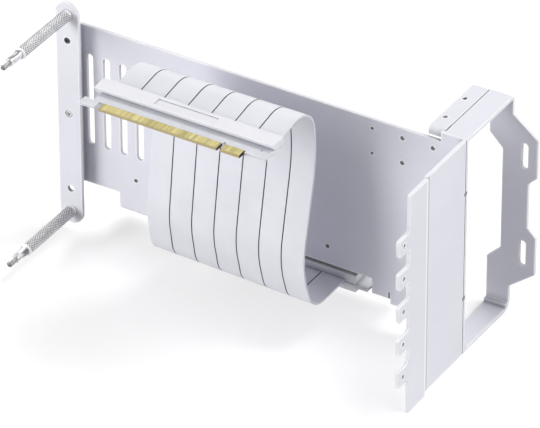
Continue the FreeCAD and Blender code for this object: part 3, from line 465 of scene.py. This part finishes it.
# Dark steel for the deep faces of the knurl and thread and for the bar's holes: painted shade
groove_shade_steel = bright_steel("groove_shade_steel", tint=(0.22, 0.22, 0.23), smooth=0.35, dull=0.50)
neck_steel = streaked_steel("neck_steel", light=(0.85, 0.85, 0.86), dark=(0.20, 0.20, 0.21))
screw_steel = bright_steel("screw_steel", tint=(0.76, 0.76, 0.77), smooth=0.20, dull=0.34)
# Darker steel for the threads in the holes: painted shade
thread_shade_steel = bright_steel("thread_shade_steel", tint=(0.42, 0.42, 0.44), smooth=0.30, dull=0.45)
cover_plastic = moulded("cover_plastic", light=(0.815, 0.815, 0.86), dark=(0.785, 0.785, 0.835))
# The slot's covers: wide painted shade in corners and a painted shadow in the gap under the plate
slot_cover_plastic = moulded("slot_cover_plastic", light=(0.80, 0.80, 0.835), dark=(0.77, 0.77, 0.805),
                             crease=4.5 * MM, gap=3.0 * MM)
slot_plastic = moulded("slot_plastic", light=(0.82, 0.82, 0.85), dark=(0.79, 0.79, 0.825),
                       rounding=0.2 * MM)
latch_plastic = moulded("latch_plastic", light=(0.80, 0.80, 0.835), dark=(0.77, 0.77, 0.805),
                        rounding=0.2 * MM)
cable_white = cable_sheath("cable_sheath", *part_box("ribbon_cable"), CABLE_STRIPS, SLIT_EDGE)
card_mask = solder_mask("card_mask", light=(0.70, 0.71, 0.76), fingers=bare_laminate)
board_mask = solder_mask("board_mask", light=(0.66, 0.67, 0.71), crease=3.0 * MM)
contact_gold = gold_plate("contact_gold", FINGER_PITCH)

FINISH = {
    "main_plate": plate_paint,
    "mounting_bar": bar_paint,
    "upper_standoff": post_steel,
    "lower_standoff": post_steel,
    "upper_standoff_screw": screw_steel,
    "lower_standoff_screw": screw_steel,
    "bar_screw": screw_steel,
    "left_board_screw": screw_steel,
    "right_board_screw": screw_steel,
    "card_board": card_mask,
    "card_contacts": contact_gold,
    "card_top_cover": cover_plastic,
    "card_bottom_cover": cover_plastic,
    "ribbon_cable": cable_white,
    "slot_board": board_mask,
    "slot_housing": slot_plastic,
    "slot_contacts": contact_gold,
    "slot_latch": latch_plastic,
    "slot_top_cover": slot_cover_plastic,
    "slot_bottom_cover": slot_cover_plastic,
}
for name, material in FINISH.items():
    for slot in nodes[name].material_slots:
        slot.material = material


# Meshes
def ring_of(mesh, around, point):
    """A ring of points, one for each step of the angle."""
    return [mesh.verts.new(point(FULL_TURN * index / around)) for index in range(around)]


def join_rings(mesh, first, second):
    """A band of quads between two rings."""
    around = len(first)
    for index in range(around):
        after = (index + 1) % around
        mesh.faces.new((first[index], first[after], second[after], second[index]))


def mesh_data(mesh, name):
    """The finished mesh, with its faces turned outward."""
    bmesh.ops.recalc_face_normals(mesh, faces=mesh.faces)
    data = bpy.data.meshes.new(name)
    mesh.to_mesh(data)
    mesh.free()
    return data


def add_object(name, data):
    item = bpy.data.objects.new(name, data)
    scene.collection.objects.link(item)
    return item


def triangle(number):
    """Distance from the nearest whole number, doubled: 0 on it and 1 halfway."""
    return abs((number + 0.5) % 1.0 - 0.5) * 2


# The card board with a narrow hook tab: the corner behind it is cut from a copy of the node
HOOK_REAR = 6.8 * MM
HOOK_LENGTH = 5.5 * MM
CUT_MARGIN = 1.0 * MM
WELD = 0.001 * MM


def box_data(low, high):
    """A closed box between two corners."""
    mesh = bmesh.new()
    bmesh.ops.create_cube(mesh, size=1.0)
    bmesh.ops.scale(mesh, vec=high - low, verts=mesh.verts)
    bmesh.ops.translate(mesh, vec=(low + high) / 2, verts=mesh.verts)
    return mesh_data(mesh, "cutter")


def cut_copy(name, node, low, high):
    """A copy of a node with a box cut out of it."""
    welded = bmesh.new()
    welded.from_mesh(nodes[node].data)
    bmesh.ops.remove_doubles(welded, verts=welded.verts, dist=WELD)
    data = nodes[node].data.copy()
    welded.to_mesh(data)
    welded.free()
    piece = add_object(name, data)
    cutter = add_object("cutter", box_data(low, high))
    cut = piece.modifiers.new("cut", "BOOLEAN")
    cut.operation = "DIFFERENCE"
    cut.solver = "EXACT"
    cut.object = cutter
    shape = piece.evaluated_get(bpy.context.evaluated_depsgraph_get())
    result = bpy.data.meshes.new_from_object(shape)
    piece.modifiers.clear()
    piece.data = result
    bpy.data.objects.remove(cutter)
    return piece


low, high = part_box("card_board")
corner_low = Vector((low.x - CUT_MARGIN, low.y + HOOK_REAR, low.z - CUT_MARGIN))
corner_high = Vector((low.x + HOOK_LENGTH, high.y + CUT_MARGIN, high.z + CUT_MARGIN))
hooked_board = cut_copy("card_board_hooked", "card_board", corner_low, corner_high)
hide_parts("card_board")
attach(hooked_board, "bracket")


# Turned posts with a diamond knurl, a neck and a threaded stud
POST_AROUND = 100
POST_BODY = 45.5 * MM
POST_CHAMFER = 0.8 * MM
POST_EASE = 0.15 * MM
KNURL_TEETH = 14
KNURL_DEPTH = 0.42 * MM
KNURL_START = 0.6 * MM
KNURL_STOP = POST_BODY - 1.0 * MM
KNURL_STEPS = 6  # rings for each tooth's pitch
KNURL_FADE = 3  # rings over which the knurl runs out
# Faces deeper than these shares get the dark groove steel: painted shade in the grooves
KNURL_DARK = 0.72  # share of the depth below which a face is dark
NECK_RADIUS = 2.5 * MM
STUD_LENGTH = 6.5 * MM
STUD_RADIUS = 1.7 * MM
STUD_STEPS = 66
THREAD_DEPTH = 0.3 * MM
THREAD_LEAD = 0.6 * MM
THREAD_DARK = 0.5  # likewise for the stud's thread
POST_STEELS = (post_steel, groove_shade_steel, neck_steel)
PLAIN, GROOVED, NECKED = range(len(POST_STEELS))


def turned_piece(name, stations):
    """A turned mesh along -Y from the origin; each station is a distance and a radius for an angle."""
    mesh = bmesh.new()
    rings = []
    for distance, radius in stations:
        rings.append(ring_of(mesh, POST_AROUND, lambda angle: (
            radius(angle) * math.cos(angle), -distance, radius(angle) * math.sin(angle))))
    for first, second in zip(rings, rings[1:]):
        join_rings(mesh, first, second)
    mesh.faces.new(rings[0][::-1])
    mesh.faces.new(rings[-1])
    return add_object(name, mesh_data(mesh, name))


def post_stations(length, radius):
    """Plain foot, knurled body, chamfer, neck and threaded stud, in metres from the foot."""
    neck_end = length - STUD_LENGTH
    pitch = FULL_TURN * radius / KNURL_TEETH

    def round_at(size):
        return lambda angle: size

    def knurl_at(distance, fade):
        def size(angle):
            turn = KNURL_TEETH * angle / FULL_TURN
            run = distance / pitch
            height = min(triangle(turn + run), triangle(turn - run))
            return radius - KNURL_DEPTH * fade * (1 - height)
        return size

    def thread_at(distance, limit):
        def size(angle):
            groove = triangle(distance / THREAD_LEAD - angle / FULL_TURN)
            return min(limit, STUD_RADIUS - THREAD_DEPTH * groove)
        return size

    stations = [(0.0, round_at(radius - POST_EASE)), (POST_EASE, round_at(radius))]
    knurled = KNURL_STOP - KNURL_START
    steps = round(knurled / pitch * KNURL_STEPS)
    for step in range(steps + 1):
        distance = KNURL_START + knurled * step / steps
        fade = min(1.0, step / KNURL_FADE, (steps - step) / KNURL_FADE)
        stations.append((distance, knurl_at(distance, fade)))
    stations += [
        (POST_BODY - POST_CHAMFER, round_at(radius)),
        (POST_BODY, round_at(radius - POST_CHAMFER)),
        (POST_BODY, round_at(NECK_RADIUS - POST_EASE)),
        (POST_BODY + POST_EASE, round_at(NECK_RADIUS)),
        (neck_end - 2 * POST_EASE, round_at(NECK_RADIUS)),
        (neck_end, round_at(NECK_RADIUS - 2 * POST_EASE)),
    ]
    for step in range(1, STUD_STEPS + 1):
        distance = neck_end + STUD_LENGTH * step / STUD_STEPS
        limit = min(STUD_RADIUS, STUD_RADIUS - POST_CHAMFER + length - distance)
        stations.append((distance, thread_at(distance, limit)))
    return stations


for name in ("upper_standoff", "lower_standoff"):
    low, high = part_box(name)
    middle = (low + high) / 2
    length, radius = high.y - low.y, (high.x - low.x) / 2
    neck_end = length - STUD_LENGTH
    post = turned_piece(name + "_knurled", post_stations(length, radius))
    post.data.transform(Matrix.Translation((middle.x, high.y, middle.z)))
    for steel in POST_STEELS:
        post.data.materials.append(steel)
    for face in post.data.polygons:
        reach = math.hypot(face.center.x - middle.x, face.center.z - middle.z)
        along = high.y - face.center.y
        in_knurl = along < POST_BODY - POST_CHAMFER and reach < radius - KNURL_DARK * KNURL_DEPTH
        in_thread = along > neck_end and reach < STUD_RADIUS - THREAD_DARK * THREAD_DEPTH
        if POST_BODY < along < neck_end:
            face.material_index = NECKED
        # Deep knurl and thread faces get painted shade
        elif in_knurl or in_thread:
            face.material_index = GROOVED
        else:
            face.material_index = PLAIN
    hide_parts(name)
    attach(post, "bracket")


# Threads in the sheet's and the bar's holes, placed by the record's mounts
SHEET = 2.0 * MM
HOLE_AROUND = 28
HOLE_STEPS = 32
HOLE_LEAD = 0.5 * MM
HOLE_CREST = 0.45 * MM
HOLE_ROOT = 0.08 * MM
HOLE_GAP = 0.02 * MM
# The darker steels in the holes are painted shade; the tongue holes keep the screws' steel
THREADED = {
    "ledge_screws": thread_shade_steel,
    "bar_holes": groove_shade_steel,
    "cable_tie_holes": thread_shade_steel,
    "plate_holes": thread_shade_steel,
    "ear_hole": thread_shade_steel,
    "outer_tongue_holes": screw_steel,
    "inner_tongue_holes": screw_steel,
    "middle_tongue_hole": screw_steel,
}
# The bar's lower hole is plain in the photo
OPEN_HOLES = ("bar_holes_thread_0",)


def hole_places(mount):
    """The middle of each hole: a bore's own place, or half a sheet under a pattern's face."""
    axis = Vector(mount["axis"])
    middle = Vector(mount["pos_m"])
    sizes = mount["dims"]
    if "length_mm" in sizes:
        return [middle]
    middle = middle - axis * SHEET / 2
    if "spacing_x_mm" in sizes:
        step = Vector((sizes["spacing_x_mm"] / 2 * MM, 0, 0))
    elif abs(axis.z) > abs(axis.x) + abs(axis.y):
        step = Vector((0, sizes["spacing_y_mm"] / 2 * MM, 0))
    else:
        step = Vector((0, 0, sizes["spacing_y_mm"] / 2 * MM))
    return [middle - step, middle + step]


def thread_sleeve(name, middle, axis, radius, steel):
    """A helical thread that lines a hole through the sheet."""
    half = SHEET / 2 - HOLE_GAP

    def thread_at(distance):
        def point(angle):
            depth = triangle(distance / HOLE_LEAD - angle / FULL_TURN)
            size = radius - HOLE_ROOT - (HOLE_CREST - HOLE_ROOT) * depth
            return size * math.cos(angle), size * math.sin(angle), distance
        return point

    def wall_at(distance):
        size = radius - HOLE_GAP
        return lambda angle: (size * math.cos(angle), size * math.sin(angle), distance)

    points = [thread_at((2 * step / HOLE_STEPS - 1) * half) for step in range(HOLE_STEPS + 1)]
    points += [wall_at(half), wall_at(-half)]
    mesh = bmesh.new()
    rings = [ring_of(mesh, HOLE_AROUND, point) for point in points]
    for first, second in zip(rings, rings[1:] + rings[:1]):
        join_rings(mesh, first, second)
    data = mesh_data(mesh, name)
    turn = axis.to_track_quat("Z", "Y").to_matrix().to_4x4()
    data.transform(Matrix.Translation(middle) @ turn)
    data.materials.append(steel)
    piece = add_object(name, data)
    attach(piece, "bracket")


for mount in frame["record"]["mounts"]:
    if mount["name"] not in THREADED:
        continue
    sizes = mount["dims"]
    radius = sizes.get("hole_r_mm", sizes.get("r_mm")) * MM
    for number, middle in enumerate(hole_places(mount)):
        name = f"{mount['name']}_thread_{number}"
        if name not in OPEN_HOLES:
            thread_sleeve(name, middle, Vector(mount["axis"]), radius, THREADED[mount["name"]])


# Floor and light
WHITE = (1.0, 1.0, 1.0, 1.0)
FLOOR_REACH = 6.0
FLOOR_GAP = 0.2 * MM
FLOOR_DARK = (0.65, 0.65, 0.65)
FLOOR_LIGHT = (0.67, 0.67, 0.67)
FLOOR_GLOW = 0.49
WORLD_LIGHT = 0.03
WORLD_SEEN = 1.0
MIDDLE_AIM = (0.0, 0.0, 0.1)
PANEL_AIM = (0.1, 0.0, 0.1)
# Name, place, aim, size and power of each soft lamp, in metres and watts
LAMPS = (
    ("left_softbox", (-1.5, -1.1, 1.0), MIDDLE_AIM, (1.4, 1.4), 16.0),
    ("front_softbox", (-1.5, -2.0, 0.65), MIDDLE_AIM, (1.4, 1.2), 32.0),
    ("low_softbox", (-0.6, -2.4, 0.25), MIDDLE_AIM, (1.8, 0.4), 2.0),
    ("right_softbox", (1.8, 0.1, 1.0), PANEL_AIM, (1.4, 1.4), 17.5),
    ("top_softbox", (0.9, 0.7, 2.4), MIDDLE_AIM, (1.2, 1.2), 40.0),
    ("back_softbox", (-1.4, 2.2, 1.0), MIDDLE_AIM, (1.4, 1.4), 10.0),
)


def seen_directly(tree):
    """1 for camera, mirror and glass rays, and 0 for the rays that carry soft light."""
    path = tree.nodes.new("ShaderNodeLightPath")
    total = path.outputs["Is Camera Ray"]
    for name in ("Is Glossy Ray", "Is Transmission Ray"):
        larger = tree.nodes.new("ShaderNodeMath")
        larger.operation = "MAXIMUM"
        tree.links.new(total, larger.inputs[0])
        tree.links.new(path.outputs[name], larger.inputs[1])
        total = larger.outputs["Value"]
    return total


def floor_material():
    """A pale floor that looks white where nothing shades it."""
    floor = Shader("studio_floor")
    cloud = floor.noise(scale=6)
    floor.colour(floor.mottle(cloud, FLOOR_DARK, FLOOR_LIGHT, ROUGH_SPAN))
    floor.rough(cloud, smooth=0.55, dull=0.65)
    floor.set("Specular IOR Level", 0.2)
    floor.set("Emission Color", WHITE)
    glow = floor.math("MULTIPLY", seen_directly(floor.tree), FLOOR_GLOW)
    floor.link(glow, floor.surface.inputs["Emission Strength"])
    return floor.material


def make_floor():
    """A wide floor just under the part."""
    side = FLOOR_REACH
    corners = [(-side, -side, 0), (side, -side, 0), (side, side, 0), (-side, side, 0)]
    data = bpy.data.meshes.new("studio_floor")
    data.from_pydata(corners, [], [(0, 1, 2, 3)])
    data.materials.append(floor_material())
    floor = add_object("studio_floor", data)
    floor.location.z = cad_low.z - FLOOR_GAP
    floor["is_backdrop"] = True


def make_world():
    """Low even light, seen as white by the camera and in reflections."""
    world = bpy.data.worlds.new("studio")
    world.use_nodes = True
    tree = world.node_tree
    background = tree.nodes["Background"]
    background.inputs["Color"].default_value = WHITE
    strength = tree.nodes.new("ShaderNodeMapRange")
    strength.inputs["To Min"].default_value = WORLD_LIGHT
    strength.inputs["To Max"].default_value = WORLD_SEEN
    tree.links.new(seen_directly(tree), strength.inputs["Value"])
    tree.links.new(strength.outputs["Result"], background.inputs["Strength"])
    scene.world = world


def area_light(name, place, aim, size, power):
    """A rectangular lamp turned to its aim."""
    data = bpy.data.lights.new(name, "AREA")
    data.shape = "RECTANGLE"
    data.size, data.size_y = size
    data.energy = power
    lamp = add_object(name, data)
    lamp.location = place
    lamp.rotation_euler = (Vector(aim) - Vector(place)).to_track_quat("-Z", "Y").to_euler()


make_floor()
make_world()
for lamp in LAMPS:
    area_light(*lamp)
scene.view_settings.view_transform = "Standard"


# The photo's camera, worked out from the card edge, the tongues' pitch and the posts' pitch
SENSOR_WIDTH = 36.0
LENS = 385.62
CLIP = (0.1, 20.0)
AZIMUTH = math.radians(31.4263)
ELEVATION = math.radians(33.9779)
ROLL = math.radians(0.1405)
# From the datum, in metres
CAMERA_BACK = 2.965357
CAMERA_LEFT = 0.1007802
CAMERA_DOWN = 0.0328840

camera_data = bpy.data.cameras.new("camera")
camera_data.sensor_width = SENSOR_WIDTH
camera_data.lens = LENS
camera_data.clip_start, camera_data.clip_end = CLIP
camera = add_object("camera", camera_data)
flat = math.cos(ELEVATION)
back = Vector((math.sin(AZIMUTH) * flat, -math.cos(AZIMUTH) * flat, math.sin(ELEVATION)))
right = Vector((0, 0, 1)).cross(back).normalized()
up = back.cross(right)
right, up = (right * math.cos(ROLL) - up * math.sin(ROLL),
             right * math.sin(ROLL) + up * math.cos(ROLL))
turn = Matrix((right, up, back)).transposed().to_4x4()
place = DATUM + back * CAMERA_BACK - right * CAMERA_LEFT - up * CAMERA_DOWN
camera.matrix_world = Matrix.Translation(place) @ turn
scene.camera = camera

low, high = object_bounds()
